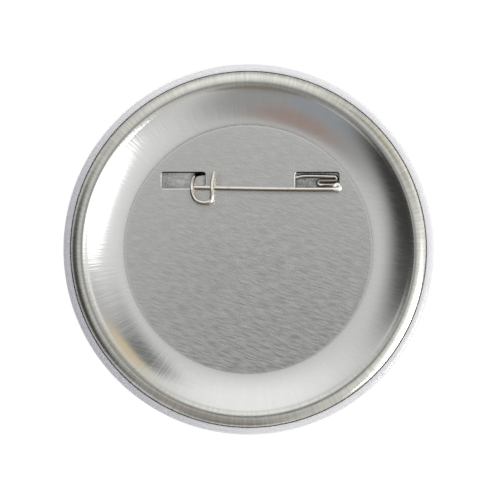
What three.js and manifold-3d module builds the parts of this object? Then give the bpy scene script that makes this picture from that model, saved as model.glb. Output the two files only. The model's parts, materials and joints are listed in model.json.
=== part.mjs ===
// Pin-back button badge, as worn: the pinned back faces -Y, the domed front faces +Y and +Z is up.
// The origin is the centre of the flat disc's rear face. The badge's axis is Y, and depth counts from
// the origin towards the back, so a point at depth d lies at y = -d.
import * as THREE from "three";
import { mergeVertices } from "three/addons/utils/BufferGeometryUtils.js";
import Module from "manifold-3d";

const wasm = await Module();
wasm.setup();

// Driving dimensions, in millimetres and degrees
const badgeDiameter = 75; // over the wrapped rim
const filmThickness = 0.1;
const paperThickness = 0.13;
const sheetThickness = 0.25; // tinplate of both stampings
const layerGap = 0.03; // air between two layers of the wrap
const rimRadius = 1.25; // of the curled rim, over the film
const rimDepth = 1.05; // from the origin back to the centre of the curl
const curlAngle = 100; // where the curl ends: 0 points outward, 90 straight back
const tuckGap = 0.08; // between the end of the curl and the back plate
const hookReach = 0.65; // how far the plate's edge goes out under the curl
const hookGap = 0.3; // between the plate's edge and the curl above it
const shoulderWidth = 7; // rounded edge of the dome
const shoulderFullness = 0.6; // share of that width over which the dome's own slope carries on
const domeDrop = 1.5; // from the middle of the front to the shoulder
const beadHeight = 3.4; // of the bead's crown over the flat disc
const beadSetIn = 2.3; // from the crease to the crown
const crownFullness = 0.55; // share of that width over which the crown stays level
const flankFullness = 0.6; // share of the flank's height over which it drops straight
const bowlRim = 0.65; // height of the bead over the bowl's upper edge
const beadWidth = 1.1; // from the bowl's upper edge to the crown
const bowlWidth = 7.4; // from the flat disc to the bowl's upper edge
const bowlStartSlope = 8;
const bowlEndSlope = 33;
const slotLength = 8.75;
const slotCorner = 0.45;
const slotMargin = 1.5; // from a slot's outer corner to the edge of the flat disc
const pinRowAngle = 40.9; // of that corner over the horizontal, seen from the centre
const pinRowShift = 0.37; // of the whole row to the right
const wireDiameter = 0.8;
const foldGap = 0.05; // between neighbouring strands and turns of the wire
const slotSlack = 0.55; // height that the three strands leave free in a slot
const spineDrop = 0.38; // from the slot's top down to the wire in the anchor's slot
const spineGap = 0.1; // between the hidden wire and the sheet on either side of it
const spineDip = 0.3; // by which the wire leaves the anchor's slot lower than it runs in it
const foldLength = 2.9; // of the folded anchor's two short strands
const foldSetIn = 0.5; // from the coil's axis to the right bend of the fold
const eyeWidth = 0.34;
const eyeHeight = 0.16;
const needleDrop = 0.9; // from the anchor's lower strand to the needle
const coilTilt = 12; // of the coil's axis from square to the plate
const coilSetIn = 0.35; // from the slot's outer end to the coil's axis
const coilLift = 0.1; // between the coil's first turn and the plate
const fixedTurn = 230;
const needleTurn = 270;
const needleBow = 0.4; // by which the point lies higher than the straight shaft
const pointLength = 4;
const pointRadius = 0.06;
const catchWidth = 4.07; // between the centre lines of the hook's two legs
const catchSetIn = 2.64; // from the slot's inner end to the first leg
const catchDrop = 2.69; // from the needle down to the bottom of the hook
const swingGap = 0.2; // between the passing needle and the hook
const catchTail = 3.39; // from the needle up to the hook's free end
const tipGap = 0.35; // from the first leg's centre line to the needle's point
const lathePieces = 48;
const wireSides = 8;
const catchSteps = 32; // along the hook, and so on for each stretch of the wire
const spineSteps = 12;
const bendSteps = 6;
const rampSteps = 7;
const turnSteps = 12;
const shaftSteps = 14;

// Sizes that follow from them
const badgeRadius = badgeDiameter / 2;
const wireRadius = wireDiameter / 2;
const rimCentre = badgeRadius - rimRadius;
const paperInset = filmThickness + layerGap;
const shellInset = paperInset + paperThickness + layerGap;
const stackThickness = shellInset + sheetThickness;
const creaseRadius = rimCentre + rimRadius * cosine(curlAngle) - tuckGap;
const hookDepth = rimDepth + (rimRadius - stackThickness) * sine(curlAngle) - hookGap;
const crownRadius = creaseRadius - beadSetIn;
const bowlTopRadius = crownRadius - beadWidth;
const bowlTopDepth = beadHeight - bowlRim;
const discRadius = bowlTopRadius - bowlWidth;
const slotCornerRadius = discRadius - slotMargin;
const slotOuterEnd = slotCornerRadius * cosine(pinRowAngle);
const slotTop = slotCornerRadius * sine(pinRowAngle);
const strandPitch = wireDiameter + foldGap;
const slotHeight = 3 * strandPitch + slotSlack;
const spineHeight = slotTop - spineDrop - wireRadius;
const exitHeight = slotTop - foldGap - wireRadius;
const spineDepth = -(sheetThickness + spineGap + wireRadius);
const frontDepth = spineDepth - wireRadius - spineGap - domeDrop - stackThickness;
const coilAcross = (eyeWidth + wireDiameter) / 2;
const coilUp = (eyeHeight + wireDiameter) / 2;
const coilCentreX = pinRowShift + slotOuterEnd - coilSetIn;
const needleHeight = spineHeight - 2 * strandPitch - needleDrop;
const coilHeight = needleHeight + coilUp * cosine(coilTilt);
const firstTurnDepth = coilLift + wireRadius + coilUp * sine(coilTilt);
const coilDepth = firstTurnDepth + strandPitch * cosine(coilTilt);
const needleDepth = coilDepth + coilUp * sine(coilTilt);
const slotInnerEnd = pinRowShift - slotOuterEnd + slotLength;
const firstLegX = slotInnerEnd - catchSetIn;
const passRise = wireDiameter + swingGap + (catchDrop + needleBow) * sine(coilTilt);
const catchDepth = needleDepth + passRise / cosine(coilTilt);

// Finishes
const tinplate = { color: 0xb9bab6, roughness: 0.32, metalness: 1 };
const wireFinish = { color: 0xc9c7c2, roughness: 0.18, metalness: 1 };
const film = { color: 0xffffff, roughness: 0.06, metalness: 0, transparent: true, opacity: 0.3 };
const paper = { color: 0xf4f3f0, roughness: 0.85, metalness: 0 };

function sine(degrees) {
  return Math.sin(THREE.MathUtils.degToRad(degrees));
}

function cosine(degrees) {
  return Math.cos(THREE.MathUtils.degToRad(degrees));
}

// A point of space from its place across, its depth behind the flat disc and its height.
function place(x, depth, z) {
  return new THREE.Vector3(x, -depth, z);
}

// The points of curves that follow each other, each with its own number of steps.
function chain(...stretches) {
  return stretches.flatMap(([curve, steps], i) => curve.getPoints(steps).slice(i ? 1 : 0));
}

// The same profile moved sideways, to the left of its direction for a positive distance.
function offset(points, distance) {
  return points.map((point, i) => {
    const before = points[Math.max(i - 1, 0)];
    const after = points[Math.min(i + 1, points.length - 1)];
    const along = after.clone().sub(before).normalize();
    const moved = new THREE.Vector2(point.x - along.y * distance, point.y + along.x * distance);
    if (i === 0) {
      moved.set(0, point.y + distance);
    }
    return moved;
  });
}

// The body of revolution between two profiles given as radius and depth, both starting on the axis.
function revolve(rear, front) {
  const outline = [...rear, ...front.slice().reverse()];
  const points = outline.map((point) => new THREE.Vector2(point.x, -point.y));
  return new THREE.LatheGeometry(points, lathePieces);
}

// A curve through given points that is stepped from point to point.
class Stations extends THREE.Curve {
  constructor(points) {
    super();
    this.points = points;
  }

  getPoint(t, target = new THREE.Vector3()) {
    const last = this.points.length - 1;
    const i = Math.min(Math.floor(t * last), last - 1);
    return target.lerpVectors(this.points[i], this.points[i + 1], t * last - i);
  }

  getPointAt(u, target) {
    return this.getPoint(u, target);
  }

  getTangentAt(u, target) {
    return this.getTangent(u, target);
  }
}

function wireAlong(points) {
  const section = new THREE.Shape().absarc(0, 0, wireRadius, 0, 2 * Math.PI);
  return new THREE.ExtrudeGeometry(section, {
    extrudePath: new Stations(points),
    steps: points.length - 1,
    curveSegments: wireSides / 2,
  });
}

// A bend of the wire in a plane parallel to the plate.
class Bend extends THREE.Curve {
  constructor(x, depth, z, radius, start, end) {
    super();
    Object.assign(this, { x, depth, z, radius, start, end });
  }

  getPoint(t) {
    const angle = this.start + t * (this.end - this.start);
    return place(this.x + this.radius * cosine(angle), this.depth, this.z + this.radius * sine(angle));
  }
}

// A turn of the coil, level along the coil's axis from the turn that the needle leaves.
class Turn extends THREE.Curve {
  constructor(level, start, end) {
    super();
    Object.assign(this, { level, start, end });
  }

  getPoint(t) {
    const angle = this.start + t * (this.end - this.start);
    const up = coilUp * sine(angle);
    return place(
      coilCentreX + coilAcross * cosine(angle),
      coilDepth + this.level * cosine(coilTilt) - up * sine(coilTilt),
      coilHeight + this.level * sine(coilTilt) + up * cosine(coilTilt),
    );
  }
}

// The front as the hand feels it: dome, shoulder and curl, over the film.
function frontProfile() {
  const shoulderStart = badgeRadius - shoulderWidth;
  const domeRadius = (shoulderStart ** 2 + domeDrop ** 2) / (2 * domeDrop);
  const domeAngle = Math.asin(shoulderStart / domeRadius);
  const dome = new THREE.EllipseCurve(
    0, frontDepth + domeRadius, domeRadius, domeRadius, -Math.PI / 2, domeAngle - Math.PI / 2,
  );
  const start = new THREE.Vector2(shoulderStart, frontDepth + domeDrop);
  const end = new THREE.Vector2(badgeRadius, rimDepth);
  const lead = shoulderWidth * shoulderFullness;
  const shoulder = new THREE.CubicBezierCurve(
    start,
    new THREE.Vector2(start.x + lead * Math.cos(domeAngle), start.y + lead * Math.sin(domeAngle)),
    new THREE.Vector2(end.x, (start.y + end.y) / 2),
    end,
  );
  const curl = new THREE.EllipseCurve(
    rimCentre, rimDepth, rimRadius, rimRadius, 0, THREE.MathUtils.degToRad(curlAngle),
  );
  return chain([dome, 4], [shoulder, 5], [curl, 5]);
}

// One layer of the front, between two distances inside the outermost surface.
function frontLayer(inset, thickness) {
  const outer = frontProfile();
  return revolve(offset(outer, inset + thickness), offset(outer, inset));
}

// The rear face of the back plate: flat disc, bowl, bead, outer flank and the edge under the curl.
function plateProfile() {
  const discEdge = new THREE.Vector2(discRadius, 0);
  const bowlTop = new THREE.Vector2(bowlTopRadius, bowlTopDepth);
  const crown = new THREE.Vector2(crownRadius, beadHeight);
  const hookCorner = new THREE.Vector2(creaseRadius, hookDepth + sheetThickness);
  const third = bowlWidth / 3;
  const disc = new THREE.LineCurve(new THREE.Vector2(0, 0), discEdge);
  const bowl = new THREE.CubicBezierCurve(
    discEdge,
    new THREE.Vector2(discRadius + third * cosine(bowlStartSlope), third * sine(bowlStartSlope)),
    new THREE.Vector2(bowlTop.x - third * cosine(bowlEndSlope), bowlTop.y - third * sine(bowlEndSlope)),
    bowlTop,
  );
  const inner = new THREE.QuadraticBezierCurve(
    bowlTop, new THREE.Vector2(crown.x - beadWidth / 3, crown.y), crown,
  );
  const flank = new THREE.CubicBezierCurve(
    crown,
    new THREE.Vector2(crown.x + beadSetIn * crownFullness, crown.y),
    new THREE.Vector2(creaseRadius, hookCorner.y + (crown.y - hookCorner.y) * flankFullness),
    hookCorner,
  );
  const hook = new THREE.QuadraticBezierCurve(
    hookCorner,
    new THREE.Vector2(creaseRadius, hookDepth),
    new THREE.Vector2(creaseRadius + hookReach, hookDepth),
  );
  return chain([disc, 1], [bowl, 4], [inner, 3], [flank, 5], [hook, 2]);
}

// A rounded slot, long enough in depth to pass through the plate, placed by its outer end.
function slotCutter(side) {
  const shape = new THREE.Shape();
  const left = pinRowShift + (side > 0 ? slotOuterEnd - slotLength : -slotOuterEnd);
  const right = left + slotLength;
  const bottom = slotTop - slotHeight;
  shape.absarc(right - slotCorner, slotTop - slotCorner, slotCorner, 0, Math.PI / 2);
  shape.absarc(left + slotCorner, slotTop - slotCorner, slotCorner, Math.PI / 2, Math.PI);
  shape.absarc(left + slotCorner, bottom + slotCorner, slotCorner, Math.PI, 1.5 * Math.PI);
  shape.absarc(right - slotCorner, bottom + slotCorner, slotCorner, 1.5 * Math.PI, 2 * Math.PI);
  const cutter = new THREE.ExtrudeGeometry(shape, {
    depth: 3 * sheetThickness,
    bevelEnabled: false,
    curveSegments: 2,
  });
  return cutter.rotateX(Math.PI / 2).translate(0, 2 * sheetThickness, 0);
}

function solidFrom(geometry) {
  geometry.deleteAttribute("normal");
  geometry.deleteAttribute("uv");
  const merged = mergeVertices(geometry, 1e-4);
  return new wasm.Manifold(
    new wasm.Mesh({
      numProp: 3,
      vertProperties: merged.attributes.position.array,
      triVerts: new Uint32Array(merged.index.array),
    }),
  );
}

function geometryFrom(solid) {
  const mesh = solid.getMesh();
  const geometry = new THREE.BufferGeometry();
  geometry.setAttribute("position", new THREE.BufferAttribute(mesh.vertProperties, 3));
  geometry.setIndex(new THREE.BufferAttribute(mesh.triVerts, 1));
  geometry.computeVertexNormals();
  return geometry;
}

function backPlate() {
  const rear = plateProfile();
  let plate = solidFrom(revolve(rear, offset(rear, -sheetThickness)));
  for (const side of [-1, 1]) {
    plate = plate.subtract(solidFrom(slotCutter(side)));
  }
  return geometryFrom(plate);
}

// The hook that holds the needle: out of the slot, down over the needle, round and back up to a
// free end. Its points between the slot, the needle and the hook's bottom stand at shares of the
// heights between them.
function catchCurve() {
  const secondLegX = firstLegX + catchWidth;
  const middleX = (firstLegX + secondLegX) / 2;
  const legDepth = needleDepth + wireDiameter + swingGap;
  const climb = exitHeight - needleHeight;
  const bend = catchWidth / 5;
  const up = (rise) => needleHeight + rise;
  return new THREE.CatmullRomCurve3([
    place(firstLegX + 2 * bend, spineDepth, exitHeight),
    place(firstLegX + bend, spineDepth + wireRadius, exitHeight),
    place(firstLegX + bend / 3, needleDepth / 2, up(0.75 * climb)),
    place(firstLegX, legDepth - wireRadius, up(0.35 * climb)),
    place(firstLegX, legDepth + swingGap, up(0)),
    place(firstLegX + bend / 5, (legDepth + catchDepth + swingGap) / 2, up(-0.4 * catchDrop)),
    place(firstLegX + bend, catchDepth, up(-0.8 * catchDrop)),
    place(middleX, catchDepth, up(-catchDrop)),
    place(secondLegX - bend / 2, catchDepth, up(-0.9 * catchDrop)),
    place(secondLegX, catchDepth, up(-0.5 * catchDrop)),
    place(secondLegX, legDepth + 2 * swingGap, up(0)),
    place(secondLegX, legDepth - wireRadius / 2, up(0.3 * catchTail)),
    place(secondLegX + bend / 4, needleDepth, up(0.7 * catchTail)),
    place(secondLegX + bend / 2, 2 * wireRadius, up(catchTail)),
  ]);
}

// The hidden stretch between the two slots, which bows where it enters the anchor's slot.
function spineCurve(end) {
  const anchorSlotStart = pinRowShift + slotOuterEnd - slotLength;
  return new THREE.CatmullRomCurve3([
    place(slotInnerEnd - wireDiameter / 2, spineDepth, exitHeight),
    place(slotInnerEnd + slotLength / 2, spineDepth, exitHeight - spineDip / 2),
    place(anchorSlotStart - wireDiameter, spineDepth, spineHeight - spineDip),
    place(anchorSlotStart + 2 * wireDiameter, spineDepth, spineHeight + wireRadius / 4),
    end,
  ]);
}

// The fixed part of the wire, from the hook's free end to the coil's first turn.
function pinWire() {
  const foldRight = coilCentreX - foldSetIn;
  const foldLeft = foldRight - foldLength;
  const bendRadius = strandPitch / 2;
  const rightBend = new Bend(foldRight, spineDepth, spineHeight - bendRadius, bendRadius, 90, -90);
  const leftBend = new Bend(foldLeft, spineDepth, spineHeight - 3 * bendRadius, bendRadius, 90, 270);
  const firstTurn = new Turn(-strandPitch, 90, 90 - fixedTurn);
  const spine = spineCurve(rightBend.getPoint(0));
  const hook = catchCurve().getPoints(catchSteps).reverse();
  const exit = new THREE.LineCurve3(hook.at(-1), spine.getPoint(0));
  const middle = new THREE.LineCurve3(rightBend.getPoint(1), leftBend.getPoint(0));
  const rampStart = leftBend.getPoint(1);
  const rampEnd = firstTurn.getPoint(0);
  const lead = place(foldLength / 3, 0, 0);
  const ramp = new THREE.CubicBezierCurve3(
    rampStart, rampStart.clone().add(lead), rampEnd.clone().sub(lead), rampEnd,
  );
  const rest = chain(
    [exit, 1],
    [spine, spineSteps],
    [rightBend, bendSteps],
    [middle, 1],
    [leftBend, bendSteps],
    [ramp, rampSteps],
    [firstTurn, turnSteps],
  );
  return wireAlong([...hook, ...rest.slice(1)]);
}

// The moving part of the wire: the coil's second turn, the shaft and the ground point.
function needle() {
  const turn = new Turn(0, needleTurn - 90, -90);
  const shaftStart = turn.getPoint(1);
  const tipX = firstLegX + tipGap;
  const shaft = new THREE.QuadraticBezierCurve3(
    shaftStart,
    place((shaftStart.x + tipX) / 2, needleDepth, needleHeight),
    place(tipX, needleDepth, needleHeight + needleBow),
  );
  const geometry = wireAlong(chain([turn, turnSteps], [shaft, shaftSteps]));
  const position = geometry.attributes.position;
  for (let i = 0; i < position.count; i++) {
    const share = (position.getX(i) - tipX) / pointLength;
    if (share >= 1) {
      continue;
    }
    const scale = THREE.MathUtils.lerp(pointRadius / wireRadius, 1, Math.max(share, 0));
    const middle = shaft.getPoint((shaftStart.x - position.getX(i)) / (shaftStart.x - tipX));
    position.setY(i, middle.y + (position.getY(i) - middle.y) * scale);
    position.setZ(i, middle.z + (position.getZ(i) - middle.z) * scale);
  }
  return geometry;
}

const badge = new THREE.Group();
const pieces = {
  clear_film: [frontLayer(0, filmThickness), film],
  print_paper: [frontLayer(paperInset, paperThickness), paper],
  front_shell: [frontLayer(shellInset, sheetThickness), tinplate],
  back_plate: [backPlate(), tinplate],
  pin_wire: [pinWire(), wireFinish],
  needle: [needle(), wireFinish],
};
for (const [name, [geometry, finish]] of Object.entries(pieces)) {
  const mesh = new THREE.Mesh(geometry, new THREE.MeshStandardMaterial(finish));
  mesh.name = name;
  badge.add(mesh);
}

export default badge;
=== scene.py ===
import json
from math import asin, cos, hypot, pi, radians, sin

import bmesh
import bpy
from bpy.props import FloatProperty, FloatVectorProperty, IntProperty, PointerProperty
from bpy.types import Operator, PropertyGroup
from mathutils import Matrix, Vector


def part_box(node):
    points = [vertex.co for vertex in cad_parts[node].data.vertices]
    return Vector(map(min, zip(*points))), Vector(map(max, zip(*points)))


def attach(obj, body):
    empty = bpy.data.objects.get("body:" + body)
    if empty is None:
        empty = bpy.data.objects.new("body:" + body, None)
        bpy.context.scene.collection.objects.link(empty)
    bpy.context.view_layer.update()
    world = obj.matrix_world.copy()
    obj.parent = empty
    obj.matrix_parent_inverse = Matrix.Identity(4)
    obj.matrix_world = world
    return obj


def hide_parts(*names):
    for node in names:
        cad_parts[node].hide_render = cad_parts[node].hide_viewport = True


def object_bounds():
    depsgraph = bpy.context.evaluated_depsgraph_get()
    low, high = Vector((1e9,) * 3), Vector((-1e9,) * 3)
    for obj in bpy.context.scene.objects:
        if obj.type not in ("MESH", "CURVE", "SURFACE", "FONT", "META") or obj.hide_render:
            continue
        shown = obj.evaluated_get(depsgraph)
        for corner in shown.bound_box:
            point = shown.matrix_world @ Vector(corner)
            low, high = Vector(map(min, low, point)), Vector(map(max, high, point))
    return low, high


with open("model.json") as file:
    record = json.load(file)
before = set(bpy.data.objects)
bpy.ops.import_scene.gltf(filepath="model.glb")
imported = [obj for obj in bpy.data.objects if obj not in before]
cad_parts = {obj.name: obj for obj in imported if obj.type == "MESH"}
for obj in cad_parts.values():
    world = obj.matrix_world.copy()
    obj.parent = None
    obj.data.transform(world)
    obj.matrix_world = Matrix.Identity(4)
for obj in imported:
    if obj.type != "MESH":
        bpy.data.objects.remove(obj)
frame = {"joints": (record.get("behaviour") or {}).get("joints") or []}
CAD_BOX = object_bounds()
HALF_WIDTH = (CAD_BOX[1][0] - CAD_BOX[0][0]) / 2
FILM_LOW, FILM_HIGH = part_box("clear_film")
PLATE_LOW, PLATE_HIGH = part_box("back_plate")
NEEDLE_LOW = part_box("needle")[0]
HINGE = frame["joints"][0]
HINGE_AT = Vector(HINGE["pos_m"])
HINGE_AXIS = Vector(HINGE["axis"]).normalized()
MM = 0.001

# Steps along the outlines and the wire
DISC_STEPS, RING_STEPS, BOWL_STEPS, BEAD_STEPS, FLANK_STEPS, CAUGHT_STEPS = 24, 6, 40, 18, 32, 8
DOME_STEPS, SHOULDER_STEPS, CURL_STEPS, EDGE_STEPS = 28, 24, 28, 6
SLOT_CORNER_STEPS, LIP_SIDES, FLOOR_STEPS = 8, 20, 128
WIRE_STEPS, BEND_STEPS, TURN_STEPS, RAMP_STEPS, SHAFT_STEPS = 10, 16, 36, 20, 90
TAIL_STEPS = 22  # over which the hook's free end grows to the wire's full thickness

# How full the curves are, as shares of their width or height
CROWN_FULLNESS = 0.5
FLANK_FULLNESS = 0.6
SHOULDER_FULLNESS = 0.6
POINT_FULLNESS = 0.85

PLEAT_GROWTH = 1.5  # how slowly the pleats start where the curl does
PLEAT_COARSENESS = 26.0  # noise cells on a unit circle round the rim
PLEAT_SEED = 4.0
SHARP_ANGLE = radians(40)  # above which an edge is drawn sharp
MERGE_DISTANCE = 1e-7

bl_info = {
    "name": "Button badge",
    "version": (1, 0, 0),
    "blender": (4, 5, 0),
    "location": "3D View > Sidebar > Badge",
    "description": "Builds a pin-back button badge: crimped front, dished tinplate back and wire pin",
    "category": "Object",
}


# Sizes and colours that a user may change


def length(name, description, millimetres):
    default = millimetres * MM
    return FloatProperty(name=name, description=description, default=default, unit="LENGTH", precision=5)


def angle(name, description, degrees):
    return FloatProperty(name=name, description=description, default=radians(degrees), subtype="ANGLE")


def factor(name, description, default):
    return FloatProperty(name=name, description=description, default=default, min=0, max=1, subtype="FACTOR")


def colour(name, description, default):
    return FloatVectorProperty(name=name, description=description, default=default, size=3, subtype="COLOR")


class BadgePlateSizes(PropertyGroup):
    """Sizes of the stamped back plate."""

    segments: IntProperty(name="Segments", description="Steps round the plate", default=288)
    sheet: length("Sheet", "Thickness of the tinplate", PLATE_HIGH.y / MM)
    bead_height: length("Bead height", "Crown of the bead over the flat disc", -PLATE_LOW.y / MM)
    crease: length("Crease radius", "Where the flank meets the wrapped rim", 35.953)
    hook_depth: length("Hook depth", "How far back the caught edge lies", 1.449)
    bead_set_in: length("Bead set-in", "From the crease to the bead's crown", 2.3)
    bead_width: length("Bead width", "From the bowl's upper edge to the crown", 1.1)
    bowl_rim: length("Bowl rim", "From the bowl's upper edge up to the crown", 0.65)
    bowl_width: length("Bowl width", "From the flat disc to the bowl's upper edge", 7.4)
    bowl_start: angle("Bowl start", "Slope of the bowl where it leaves the disc", 8)
    bowl_end: angle("Bowl end", "Slope of the bowl under the bead", 33)
    disc_crown: length("Disc crown", "How far the disc's middle stands out", 0.25)
    ring_depth: length("Ring depth", "Depth of the pressed line round the disc", 0.035)
    ring_width: length("Ring width", "Width of the pressed line round the disc", 0.4)
    slot_length: length("Slot length", "Length of each slot", 8.75)
    slot_height: length("Slot height", "Height of each slot", 3.1)
    slot_top: length("Slot top", "Upper edge of both slots over the centre", 15.487)
    slot_outer: length("Slot outer end", "From the pin row's middle to a slot's end", 17.878)
    slot_corner: length("Slot corner", "Radius of a slot's corners", 0.45)
    row_shift: length("Row shift", "How far the pin row sits to the right", 0.37)
    mark_width: length("Mark width", "Width of the mark beside the left slot", 3.5)
    lip: length("Rolled edge", "Radius of the rounded edge of each slot", 0.26)

    @property
    def disc(self):
        return self.crown - self.bead_width - self.bowl_width

    @property
    def inner_end(self):
        """Where the left slot ends, towards the middle."""
        return self.row_shift - self.slot_outer + self.slot_length

    @property
    def crown(self):
        return self.crease - self.bead_set_in

    def level(self, x, z):
        """How far the crowned disc stands over its edge."""
        share = hypot(x, z) / (self.disc - self.ring_width)
        return self.disc_crown * max(0.0, 1 - share**2)


class BadgeFrontSizes(PropertyGroup):
    """Sizes of the shell, the paper and the film."""

    segments: IntProperty(name="Segments", description="Steps round the rim", default=288)
    rim_radius: length("Rim radius", "Radius of the curl, over the film", 1.25)
    rim_depth: length("Rim depth", "How far back the centre of the curl lies", 1.05)
    curl: angle("Curl", "Where the curl ends, from pointing outward", 100)
    shoulder: length("Shoulder", "Width of the rounded edge of the dome", 7)
    dome_drop: length("Dome drop", "From the middle of the front to the shoulder", 1.5)
    film: length("Film", "Thickness of the clear film", 0.1)
    paper: length("Paper", "Thickness of the printed paper", 0.13)
    shell: length("Shell", "Thickness of the tinplate shell", 0.25)
    gap: length("Layer gap", "Air between two layers", 0.03)
    pleat: length("Pleat", "Height of the pleats in the tucked wrap", 0.012)


class BadgeWireSizes(PropertyGroup):
    """Sizes of the pin, which is bent from one wire."""

    sides: IntProperty(name="Sides", description="Steps round the wire", default=32)
    diameter: length("Wire", "Diameter of the wire", 0.8)
    gap: length("Fold gap", "Between neighbouring strands", 0.05)
    eye_across: length("Eye across", "Half width of the coil's centre line", 0.57)
    eye_up: length("Eye up", "Half height of the coil's centre line", 0.48)
    fold: length("Fold", "Length of the folded anchor", 2.9)
    fold_set_in: length("Fold set-in", "From the coil's axis to the fold's right bend", 0.5)
    spine_drop: length("Spine drop", "From the slot's top to the wire in the anchor's slot", 0.38)
    spine_gap: length("Spine gap", "Between the hidden wire and the plate", 0.1)
    spine_dip: length("Spine dip", "How much lower the wire leaves the anchor's slot", 0.3)
    tuck: length("Tuck", "How far the wire goes up behind the slot's edge", 0.35)
    needle_bow: length("Needle bow", "How much higher the point lies than the shaft", 0.4)
    point_length: length("Point", "Length of the ground point", 4)
    point_radius: length("Point radius", "Radius of the very tip", 0.05)
    catch_width: length("Catch width", "Between the two legs of the hook", 4.07)
    catch_set_in: length("Catch set-in", "From the slot's inner end to the first leg", 2.64)
    catch_drop: length("Catch drop", "From the needle down to the bottom of the hook", 2.69)
    catch_tail: length("Catch tail", "From the needle up to the hook's free end", 3.39)
    tail_share: factor("Tail", "Thickness of the hook's free end against the wire", 0.6)
    swing_gap: length("Swing gap", "Between the passing needle and the hook", 0.2)
    tip_gap: length("Tip gap", "From the first leg to the needle's point", 0.35)
    fixed_turn: angle("Fixed turn", "How far the fixed wire goes round the coil", 230)
    needle_turn: angle("Needle turn", "How far the needle's wire goes round the coil", 270)


class BadgeFinishes(PropertyGroup):
    """Colours and roughness of the badge's materials."""

    tin: colour("Tinplate", "Colour of the bright tinplate", (0.617, 0.62, 0.606))
    tin_roughness: factor("Tinplate roughness", "Roughness of the tinplate", 0.17)
    grain_angle: angle("Grain angle", "How far the rolled grain falls to the right", 17)
    wire: colour("Wire", "Colour of the plated wire", (0.735, 0.704, 0.642))
    wire_roughness: factor("Wire roughness", "Roughness of the plated wire", 0.09)
    paper: colour("Paper", "Colour of the print paper", (0.91, 0.908, 0.935))
    film: colour("Film", "Tint of the clear film", (0.96, 0.96, 1.0))


class BadgeStageSettings(PropertyGroup):
    """Camera, light and floor."""

    view_width: length("View width", "Width that the camera sees at the rim", 100.86)
    distance: length("Distance", "From the camera to the badge", 900)
    off_right: length("Camera right", "How far the camera stands to the right", 0.31)
    off_down: length("Camera down", "How far the camera stands below the centre", 0.12)
    floor_drop: length("Floor drop", "From the badge's centre down to the floor", 120)
    floor_radius: length("Floor radius", "Radius of the round floor", 1200)


# Short ways to add nodes


def join(tree, node, inputs):
    """Sets the node's inputs to values, or joins them to sockets."""
    for key, value in dict(inputs).items():
        if isinstance(value, bpy.types.NodeSocket):
            tree.links.new(value, node.inputs[key])
        else:
            node.inputs[key].default_value = value


def add(tree, kind, inputs=(), **settings):
    """A new node with its settings and inputs."""
    made = tree.nodes.new(kind)
    for key, value in settings.items():
        setattr(made, key, value)
    join(tree, made, inputs)
    return made


def output(tree, kind, inputs=(), **settings):
    """The first output of a new node."""
    return add(tree, kind, inputs, **settings).outputs[0]


def calc(tree, operation, *values):
    return output(tree, "ShaderNodeMath", enumerate(values), operation=operation)


def product(tree, made, *values):
    for value in values:
        made = calc(tree, "MULTIPLY", made, value)
    return made


def vector(tree, operation, *values, result=0):
    return add(tree, "ShaderNodeVectorMath", enumerate(values), operation=operation).outputs[result]


def measured(tree, operation, *values):
    """A vector operation that gives a number."""
    return vector(tree, operation, *values, result="Value")


def scaled(tree, value, scale):
    return output(tree, "ShaderNodeVectorMath", {0: value, "Scale": scale}, operation="SCALE")


def coordinates(tree, kind="Object"):
    return add(tree, "ShaderNodeTexCoord").outputs[kind]


def axes(tree, value):
    """The X, Y and Z of a vector."""
    return add(tree, "ShaderNodeSeparateXYZ", {0: value}).outputs


def distance_from(tree, value, middle):
    return calc(tree, "ABSOLUTE", calc(tree, "SUBTRACT", value, middle))


def noise(tree, place, scale=1.0, detail=3.0, distortion=0.0):
    inputs = {"Vector": place, "Scale": scale, "Detail": detail, "Distortion": distortion}
    return output(tree, "ShaderNodeTexNoise", inputs)


def between(tree, value, start, end, low=0.0, high=1.0):
    """value mapped smoothly from start..end to low..high."""
    inputs = {"Value": value, "From Min": start, "From Max": end, "To Min": low, "To Max": high}
    return output(tree, "ShaderNodeMapRange", inputs, interpolation_type="SMOOTHSTEP")


def spread(tree, pattern, contrast, low=0.0, high=1.0):
    """A noise, which lies round 0.5, mapped smoothly over the band that the contrast gives it."""
    return between(tree, pattern, 0.5 - contrast, 0.5 + contrast, low, high)


def blend(tree, share, low, high, **settings):
    """The low colour where the share is 0 and the high one where it is 1."""
    low, high = (c if isinstance(c, bpy.types.NodeSocket) else (*c, 1.0) for c in (low, high))
    return add(tree, "ShaderNodeMix", {0: share, 6: low, 7: high}, data_type="RGBA", **settings).outputs[2]


def layered(tree, tone, *layers):
    """The tone with each share of a colour laid over it in turn."""
    for share, laid in layers:
        tone = blend(tree, share, tone, laid)
    return tone


def times(base, red, green, blue):
    return (base.x * red, base.y * green, base.z * blue)


# Materials

SOFT, FIRM = 0.2, 0.15  # half the band of a noise over which a tone changes

# Noise cells to a metre, along and across the sheet's rolling direction or the wire's length
FINE_GRAIN, BROAD_GRAIN, CLOUDS, WIRE_MARKS = (600, 5200), (380, 3300), (60, 90), (200, 2500)
FINE_SHARE, BROAD_SHARE = 0.6, 0.4  # of the two grains in the whole
RELIEF = 0.02 * MM  # height of the grain, the wire's marks and the film's unevenness

# Draw marks on the dished wall: noise cells on a unit circle and to a metre of radius
STREAKS_ROUND, STREAKS_ALONG = 75.0, 150.0
BOWL_EDGE = 0.8 * MM  # over which the disc's finish gives way to the bowl's
DISC_DULLNESS = 1.5  # of the disc against the bowl
BEAD_DULLNESS, COIL_DULLNESS = 0.09, 0.22  # added to the roughness
MARK_SHARE, MARK_EDGE = 0.9, 0.2 * MM
# Painted shadow of the needle on the disc: how far below the needle it lies, its half width, and how far it
# fades at the coil
SHADOW_DROP, SHADOW_WIDTH, SHADOW_END = 0.25 * MM, 0.75 * MM, 0.6 * MM

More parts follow.
